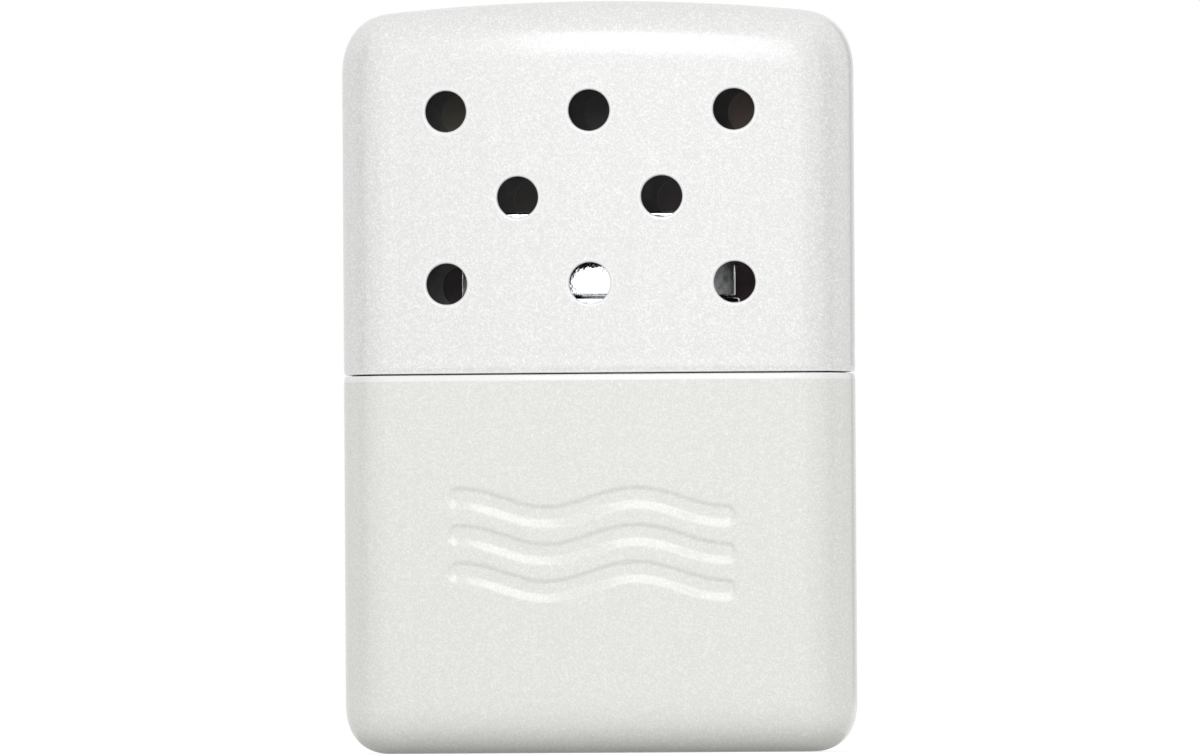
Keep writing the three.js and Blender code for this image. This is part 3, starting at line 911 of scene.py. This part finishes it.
def make_burner_base():
    """The burner's collar, with its dimples, and the ledge inside its rolled bead."""
    low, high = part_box("burner_base")
    bottom, ledge = low.z, high.z
    skirt = BURNER_RADIUS - THIN_WALL
    opening = BURNER_RADIUS - LEDGE_REACH
    underside = ledge - THIN_WALL
    bead_low = ledge - BEAD_HEIGHT
    dimple_z = (bottom + underside) / 2
    profile = rounding(BURNER_RADIUS, -COLLAR_EDGE, bottom, -COLLAR_EDGE, CORNER_STEPS)[::-1]
    for height in evenly(bottom + 2 * COLLAR_EDGE, bead_low, COLLAR_CELL):
        drawn_in = max(0.0, 1 - (bead_low - height) / NECKING_HEIGHT)
        profile.append((BURNER_RADIUS - NECKING * drawn_in**2, height))
    for step in range(1, BEAD_STEPS):
        angle = math.pi * step / BEAD_STEPS
        rise = BEAD_HEIGHT * (1 - math.cos(angle)) / 2
        profile.append((BURNER_RADIUS + BEAD_REACH * math.sin(angle), bead_low + rise))
    profile += [(BURNER_RADIUS, ledge), (opening, ledge), (opening, underside), (skirt, underside)]
    profile += [(skirt, height) for height in evenly(bottom, underside - THIN_WALL / 2, COLLAR_CELL)[::-1]]
    columns = spotted_run(END_CENTRE, DIMPLE_X, DIMPLE_RADIUS, COLLAR_COLUMN, COLLAR_CELL)

    def pressed(x, y, z):
        if round(z - bead_low, 9) > 0 or abs(x) > END_CENTRE:
            return (x, y, z)
        depth = dome(abs(x), z, DIMPLE_X, dimple_z, DIMPLE_RADIUS, DIMPLE_DEPTH)
        if abs(x) < HOLLOW_HALF:
            depth += HOLLOW_DEPTH * (1 + math.cos(math.pi * x / HOLLOW_HALF)) / 2
        return (x, y - math.copysign(depth, y), z)

    outline = oblong_outline(columns, end_degrees(OBLONG_END_POINTS))
    piece = ring_piece("burner_collar", BURNER_CHROME, outline, profile, pressed)
    return place(piece, "burner_base", "chrome_plate")


def make_burner_cap():
    """The burner's cage: windows all round, and crossbars over its open top."""
    low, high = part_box("burner_cap")
    bottom, top = low.z, high.z
    skirt = BURNER_RADIUS - THIN_WALL
    opening = BURNER_RADIUS - CAP_RIM_REACH
    sill = bottom + WINDOW_RISE
    head = sill + WINDOW_HEIGHT
    pitch = 2 * END_CENTRE / WINDOWS
    half = pitch * WINDOW_WIDTH_SHARE / 2
    columns = [-END_CENTRE]
    front_cells = []
    for window in range(WINDOWS):
        middle = (window - (WINDOWS - 1) / 2) * pitch
        columns += evenly(columns[-1], middle - half, CAP_COLUMN)[1:]
        start = len(columns) - 1
        columns += evenly(middle - half, middle + half, CAP_COLUMN)[1:]
        front_cells += range(start, len(columns) - 1)
    columns += evenly(columns[-1], END_CENTRE, CAP_COLUMN)[1:]
    end_angle = math.degrees(math.asin(half / BURNER_RADIUS))
    degrees = [90 - (90 - end_angle) * (step + 1) / CAP_END_POINTS for step in range(CAP_END_POINTS)]
    degrees += [end_angle * share for share in CAP_WINDOW_SHARES]
    outline = oblong_outline(columns, degrees)
    mirror = mirror_of(len(columns), len(degrees))
    open_cells = {*front_cells, *(mirror[cell + 1] for cell in front_cells)}
    right_end = len(columns) + CAP_END_POINTS - 1
    for first in (right_end, right_end + len(mirror) // 2):
        open_cells.update(range(first, first + 2 * len(CAP_WINDOW_SHARES) + 1))

    shape = Shape()
    heights = (bottom, sill, head)
    outer = shape.stack(outline, [(BURNER_RADIUS, height) for height in (*heights, top - CAP_EDGE_RADIUS)])
    inner = shape.stack(outline, [(skirt, height) for height in (*heights, top - THIN_WALL)])
    edge = rounding(BURNER_RADIUS, -CAP_EDGE_RADIUS, top, CAP_EDGE_RADIUS, EDGE_STEPS)
    rim = shape.stack(outline, [*edge, (opening, top), (opening, top - THIN_WALL)])
    shape.skin(outer, skipped={1: open_cells})
    shape.skin(inner, inside=True, skipped={1: open_cells})
    shape.skin([inner[0], outer[0]])
    shape.skin([outer[-1], *rim, inner[-1]])
    for cell in sorted(open_cells):
        after = (cell + 1) % len(mirror)
        shape.face((outer[1][cell], outer[1][after], inner[1][after], inner[1][cell]))
        shape.face((inner[2][cell], inner[2][after], outer[2][after], outer[2][cell]))
        if (cell - 1) % len(mirror) not in open_cells:
            shape.face((outer[2][cell], outer[1][cell], inner[1][cell], inner[2][cell]))
        if after not in open_cells:
            shape.face((inner[2][after], inner[1][after], outer[1][after], outer[2][after]))
    add_crossbars(shape, opening + CROSSBAR_SEAT, top)
    return place(shape.build("burner_cage", [BURNER_CHROME]), "burner_cap", "chrome_plate")


def add_crossbars(shape, reach, top):
    """Flat bars over the open top, each sunk a little into the frame at its ends."""
    pitch = 2 * END_CENTRE / CROSSBARS
    middle = top - THIN_WALL / 2
    half_width, half_height = CROSSBAR_WIDTH / 2, THIN_WALL / 2 - CROSSBAR_SUNK
    corners = ((1, -1), (1, 1), (-1, 1), (-1, -1))
    for bar in range(CROSSBARS):
        x = (bar - (CROSSBARS - 1) / 2) * pitch
        section = [(x + across * half_width, middle + up * half_height) for across, up in corners]
        near, far = (shape.row([(px, end, pz) for px, pz in section]) for end in (-reach, reach))
        shape.band(near, far)
        shape.face(near[::-1])
        shape.face(far)


# Gauze, catalyst and cotton


def wire(shape, points):
    """A round wire along points that lie in one upright plane."""
    path = [Vector(point) for point in points]
    run = (path[-1] - path[0]).normalized()
    side = Vector((0, 0, 1)).cross(run).normalized()
    turns = [2 * math.pi * step / WIRE_SIDES for step in range(WIRE_SIDES)]
    rows = []
    for index, centre in enumerate(path):
        ahead = path[min(index + 1, len(path) - 1)] - path[max(index - 1, 0)]
        up = ahead.normalized().cross(side)
        ring = [centre + WIRE_RADIUS * (math.cos(turn) * side + math.sin(turn) * up) for turn in turns]
        rows.append(shape.row([tuple(point) for point in ring]))
    shape.skin(rows)
    shape.face(rows[0][::-1])
    shape.face(rows[-1])


def make_gauze(name, node):
    """Plain woven wire cloth, cut to an oblong: each wire goes over one and under the next."""
    low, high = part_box(node)
    middle = (low.z + high.z) / 2
    radius = BURNER_RADIUS - THIN_WALL - GAUZE_GAP
    swing = min(WEAVE_SWING, (high.z - low.z) / 2 - WIRE_RADIUS)
    shape = Shape()

    def weave(reach, number, point_at):
        """One wire of the cloth, waving with the crossings that it passes."""
        points = []
        for t in evenly(-reach, reach, WIRE_PITCH / WEAVE_STEPS):
            height = middle + swing * math.cos(math.pi * (t / WIRE_PITCH + number))
            points.append((*point_at(t), height))
        wire(shape, points)

    across = int((END_CENTRE + radius) / WIRE_PITCH)
    for column in range(-across, across + 1):
        x = column * WIRE_PITCH
        beyond = max(0.0, abs(x) - END_CENTRE)
        reach = math.sqrt(max(0.0, radius * radius - beyond * beyond))
        if reach > WIRE_PITCH:
            weave(reach, column, lambda t, fixed=x: (fixed, t))
    along = int(radius / WIRE_PITCH)
    for line in range(-along, along + 1):
        y = line * WIRE_PITCH
        reach = END_CENTRE + math.sqrt(radius * radius - y * y)
        weave(reach, line + 1, lambda t, fixed=y: (t, fixed))
    return place(shape.build(name, [WIRE]), node, "wire_gauze")


def soft_block(name, node, material, outline, mirror, edge, ruffle, ruffle_size):
    """A cushion of loose fibre: an outline with rounded edges, roughened by noise."""
    low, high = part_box(node)
    bottom, top = low.z, high.z
    shape = Shape()

    def ruffled(x, y, z):
        push = ruffle * (noise.fractal(Vector((x, y, z)) / ruffle_size, *FRACTAL) - RUFFLE_OFFSET)
        across = x * BODY_DEPTH / BODY_WIDTH
        away = math.hypot(across, y) or 1.0
        return (x + push * across / away, y + push * y / away, z)

    def crown(row, faces_up):
        """Closes the block over a grid, whose points noise lowers or raises a little."""
        lines = []
        for index in ordered_front(mirror):
            near, far = Vector(shape.points[row[index]]), Vector(shape.points[row[mirror[index]]])
            inner = []
            for step in range(1, CROWN_STEPS):
                point = near.lerp(far, step / CROWN_STEPS)
                sink = ruffle * abs(noise.fractal(point / ruffle_size, *FRACTAL))
                point.z += -sink if faces_up else sink
                inner.append(tuple(point))
            lines.append([row[index], *shape.row(inner), row[mirror[index]]])
        for line, after in zip(lines, lines[1:]):
            for step in range(CROWN_STEPS):
                corners = [line[step], after[step], after[step + 1], line[step + 1]]
                shape.face(corners if faces_up else corners[::-1])

    profile = rounding(0, edge, bottom, -edge, EDGE_STEPS)[::-1]
    profile += [(0, height) for height in evenly(bottom + edge, top - edge, SOFT_ROW)[1:-1]]
    profile += rounding(0, edge, top, edge, EDGE_STEPS)
    rows = shape.stack(outline, profile, ruffled)
    shape.skin(rows)
    crown(rows[0], faces_up=False)
    crown(rows[-1], faces_up=True)
    return shape.build(name, [material], SOFT_ANGLE)


def oblong_block(name, node, material, gap, ruffle, ruffle_size):
    """A soft block that fills its node's oblong room, but for a gap round it."""
    columns = evenly(-END_CENTRE, END_CENTRE, SOFT_COLUMN)
    oblong = oblong_outline(columns, end_degrees(SOFT_END_POINTS))
    mirror = mirror_of(len(columns), SOFT_END_POINTS)
    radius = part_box(node)[1].y - gap

    def outline(inset):
        return oblong(radius - inset)

    return soft_block(name, node, material, outline, mirror, SOFT_EDGE, ruffle, ruffle_size)


def make_catalyst():
    """The catalyst: a pad of fleece, a little uneven, between its gauzes."""
    gap, ruffle, ruffle_size = 0.05 * MM, 0.12 * MM, 0.9 * MM
    piece = oblong_block("catalyst", "catalyst_pad", FLEECE, gap, ruffle, ruffle_size)
    return place(piece, "catalyst_pad", "catalyst_fleece")


def make_wick():
    """The tuft of cotton in the neck, with stray fibres standing out of it."""
    gap, ruffle, ruffle_size = 0.1 * MM, 0.18 * MM, 1.1 * MM
    piece = oblong_block("wick", "cotton_wick", COTTON, gap, ruffle, ruffle_size)
    return place(piece, "cotton_wick", "cotton")


def make_wads():
    """The cotton in the tank: one cushion of loose fibre for each wad."""
    ruffle, ruffle_size = 0.5 * MM, 4 * MM
    columns = evenly(-FACE_HALF, FACE_HALF, WAD_COLUMN)
    body = body_outline(columns, WAD_CORNER_POINTS)
    mirror = mirror_of(len(columns), WAD_CORNER_POINTS)
    for node in sorted(name for name in frame["nodes"] if name.startswith("cotton_wad_")):
        side = BODY_WIDTH / 2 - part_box(node)[1].x + WAD_GAP
        name = node.replace("cotton_", "")

        def outline(inset, start=side):
            return body(start + inset)

        piece = soft_block(name, node, COTTON, outline, mirror, WAD_EDGE, ruffle, ruffle_size)
        place(piece, node, "cotton")


# Stage, light and camera


def stage_look(name):
    """A material without a shader, and its look."""
    material = bpy.data.materials.new(name)
    look = Look(material)
    look.nodes.remove(look.nodes["Principled BSDF"])
    return material, look


def camera_share(look):
    """1 for what the camera sees straight, in a mirror or through glass, and 0 for lighting."""
    path = look.nodes.new("ShaderNodeLightPath").outputs
    seen = look.math("MAXIMUM", path["Is Camera Ray"], path["Is Glossy Ray"])
    return look.math("MAXIMUM", seen, path["Is Transmission Ray"])


def make_world():
    """White where it is seen, and soft even light where it lights."""
    world = bpy.data.worlds.new("studio")
    bpy.context.scene.world = world
    look = Look(world)
    lighting = look.nodes["Background"]
    low, high = (WORLD_LIGHT * share for share in WORLD_LEFT_TO_RIGHT)
    side = look.spread(look.place("X", "Generated"), low, high, start=-1)
    ahead = look.spread(look.place("Y", "Generated"), *WORLD_FRONT_TO_BACK, start=-1)
    look.feed(lighting, {"Color": WHITE, "Strength": look.math("MULTIPLY", side, ahead)})
    seen = look.add("Background", {"Color": WHITE, "Strength": 1})
    surface = look.add("MixShader", {0: camera_share(look), 1: lighting.outputs[0], 2: seen})
    look.feed(look.nodes["World Output"], {"Surface": surface})


def make_floor():
    """A pale floor that is white where it is lit and keeps the object's soft shadow."""
    shape = Shape()
    corners = ((-1, -1), (1, -1), (1, 1), (-1, 1))
    shape.face(shape.row([(x * FLOOR_HALF, y * FLOOR_HALF, 0) for x, y in corners]))
    material, look = stage_look("floor")
    paint = look.add("BsdfDiffuse", {"Color": scaled(WHITE, FLOOR_TONE)})
    strength = look.math("MULTIPLY", camera_share(look), FLOOR_GLOW)
    glow = look.add("Emission", {"Color": WHITE, "Strength": strength})
    surface = look.add("AddShader", {0: paint, 1: glow})
    look.feed(look.nodes["Material Output"], {"Surface": surface})
    floor = shape.build("floor", [material])


def make_painted_shade_strip():
    """A strip of painted shade that the holes in the lid's back show, for the backdrop in the lid's shade:
    tinted towards its sides and darker towards its bottom. It goes with the lid, and only a camera in front
    of the object sees it."""
    shape = Shape()
    side = 2 * VENT_COLUMN + STRIP_MARGIN
    bottom = VENT_LOWEST - STRIP_MARGIN
    top = VENT_LOWEST + (len(VENT_ROWS) - 1) * VENT_ROW + STRIP_MARGIN
    line = [(x, face_depth(x, STRIP_INSET)) for x in evenly(-side, side, STRIP_COLUMN)]
    near, far = (shape.row(lifted(line, height)) for height in (bottom, top))
    for index in range(len(line) - 1):
        shape.face((near[index], near[index + 1], far[index + 1], far[index]))
    material, look = stage_look("backdrop_strip")
    across = look.spread(look.place("X"), 0.0, 1.0, start=-side, end=side)
    upward = look.spread(look.place("Z"), 0.0, 1.0, start=VENT_LOWEST, end=VENT_LOWEST + STRIP_SHADE_RISE)
    # Painted shade, tinted towards the sides and darker towards the bottom.
    left = look.ramp(across, (0.55, 0.52, 0.43), (0.38, 0.365, 0.38), low_at=0.12, high_at=0.35)
    right = look.ramp(across, BLACK, (0.28, 0.14, 0.11), low_at=0.65, high_at=0.88)
    shade = look.ramp(upward, (0.32, 0.3, 0.36), WHITE, low_at=0, high_at=1)
    colour = look.mix(1.0, look.mix(1.0, left, right, "ADD"), shade, "MULTIPLY")
    camera_ray = look.add("LightPath", {}, "Is Camera Ray")
    seen = look.math("SUBTRACT", camera_ray, look.add("NewGeometry", {}, "Backfacing"))
    seen.node.use_clamp = True
    paint = look.add("BsdfDiffuse", {"Color": colour})
    surface = look.add("MixShader", {0: seen, 1: look.add("BsdfTransparent", {}), 2: paint})
    look.feed(look.nodes["Material Output"], {"Surface": surface})
    strip = shape.build("backdrop_strip", [material])
    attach(strip, "lid")


def hide_card(card):
    """Keeps a card out of the picture and out of shadows."""
    card.visible_camera = False
    card.visible_shadow = False
    card.visible_transmission = False


def dark_card(name, corners, axis, ends, tone):
    """A dark upright card that fades at its ends. Only reflections show it, so that gloss and chrome
    have something to mirror. It runs along an axis, from one end to the other."""
    shape = Shape()
    shape.face(shape.row([(*corner, height) for corner, height in corners]))
    material, look = stage_look(name)
    start, end = ends
    along = look.spread(look.place(axis), 0.0, 1.0, start, end)
    fade = look.ramp(along, BLACK, WHITE, low_at=0, high_at=0.5)
    fade.node.color_ramp.interpolation = "EASE"
    fade.node.color_ramp.elements.new(1.0).color = (*BLACK, 1)
    black = look.add("BsdfDiffuse", {"Color": scaled(WHITE, tone)})
    surface = look.add("MixShader", {0: fade, 1: look.add("BsdfTransparent", {}), 2: black})
    look.feed(look.nodes["Material Output"], {"Surface": surface})
    card = shape.build(name, [material])
    card.visible_diffuse = False
    hide_card(card)


def make_dark_cards():
    """A card at each side, and a paler one behind the right side, which the body's edge mirrors."""
    for name, x in (("left_card", -SIDE_CARD_X), ("right_card", SIDE_CARD_X)):
        front, back = ((x, y) for y in SIDE_CARD_Y)
        corners = ((front, 0), (back, 0), (back, CARD_HEIGHT), (front, CARD_HEIGHT))
        dark_card(name, corners, "Y", SIDE_CARD_Y, SIDE_CARD_TONE)
    inner, outer = ((x, BACK_CARD_Y) for x in BACK_CARD_X)
    corners = ((inner, 0), (outer, 0), (outer, CARD_HEIGHT), (inner, CARD_HEIGHT))
    dark_card("back_card", corners, "X", BACK_CARD_X, BACK_CARD_TONE)


def make_contact_card():
    """A grey ring on the floor round the foot. Only soft light meets it, and the foot's shade is deeper."""
    shape = Shape()
    columns = evenly(-FACE_HALF, FACE_HALF, CONTACT_COLUMN)
    profile = [(CASE_ROUND_REACH, CONTACT_HEIGHT), (-CONTACT_REACH, CONTACT_HEIGHT)]
    shape.skin(shape.stack(body_outline(columns, CONTACT_CORNER_POINTS), profile))
    material, look = stage_look("contact_card")
    grey = look.add("BsdfDiffuse", {"Color": scaled(WHITE, CONTACT_TONE)})
    look.feed(look.nodes["Material Output"], {"Surface": grey})
    card = shape.build("contact_card", [material])
    card.visible_glossy = False
    hide_card(card)


def aim(thing, target, roll=0.0):
    """Turns a camera or lamp so that it looks at a point, rolled about that line."""
    direction = target - thing.location
    turned = direction.to_track_quat("-Z", "Y").to_matrix().to_4x4()
    thing.matrix_world = Matrix.Translation(thing.location) @ turned @ Matrix.Rotation(roll, 4, "Z")


def soft_box(name, azimuth, elevation, distance, width, height, power):
    """A rectangular, slightly cold lamp that faces the object's middle, at an azimuth from the front."""
    lamp = bpy.data.lights.new(name, "AREA")
    lamp.color = LAMP_COLOUR
    lamp.shape = "RECTANGLE"
    lamp.size = width
    lamp.size_y = height
    lamp.energy = power
    thing = bpy.data.objects.new(name, lamp)
    bpy.context.scene.collection.objects.link(thing)
    turn, rise = math.radians(azimuth), math.radians(elevation)
    middle = Vector((0, 0, (cad_box[0].z + cad_box[1].z) / 2))
    back = Vector((math.sin(turn) * math.cos(rise), -math.cos(turn) * math.cos(rise), math.sin(rise)))
    thing.location = middle + back * distance
    thing.visible_camera = False
    aim(thing, middle)


def make_camera():
    """The photograph's view: almost level, from a little right of the front, through a long lens."""
    camera = bpy.data.cameras.new("camera")
    camera.sensor_width = SENSOR_MM
    camera.sensor_fit = "HORIZONTAL"
    camera.lens = LENS_MM
    camera.clip_start, camera.clip_end = CLIP_RANGE
    thing = bpy.data.objects.new("camera", camera)
    bpy.context.scene.collection.objects.link(thing)
    x = CAMERA_DISTANCE * math.sin(CAMERA_AZIMUTH)
    y = -CAMERA_DISTANCE * math.cos(CAMERA_AZIMUTH)
    thing.location = (x, y, CAMERA_HEIGHT)
    aim(thing, CAMERA_TARGET, CAMERA_ROLL)
    bpy.context.scene.camera = thing


make_lid()
make_case()
make_sleeve()
make_neck()
make_burner_base()
make_burner_cap()
make_gauze("upper_wire_cloth", "upper_gauze")
make_gauze("lower_wire_cloth", "lower_gauze")
make_catalyst()
make_wick()
make_wads()

make_world()
make_floor()
make_painted_shade_strip()
make_dark_cards()
make_contact_card()
soft_box("key", azimuth=-2, elevation=24, distance=0.6, width=0.215, height=0.33, power=0.86)
soft_box("front", azimuth=-1, elevation=-11, distance=0.6, width=0.6, height=0.45, power=0.48)
make_camera()
bpy.context.scene.view_settings.view_transform = "Standard"
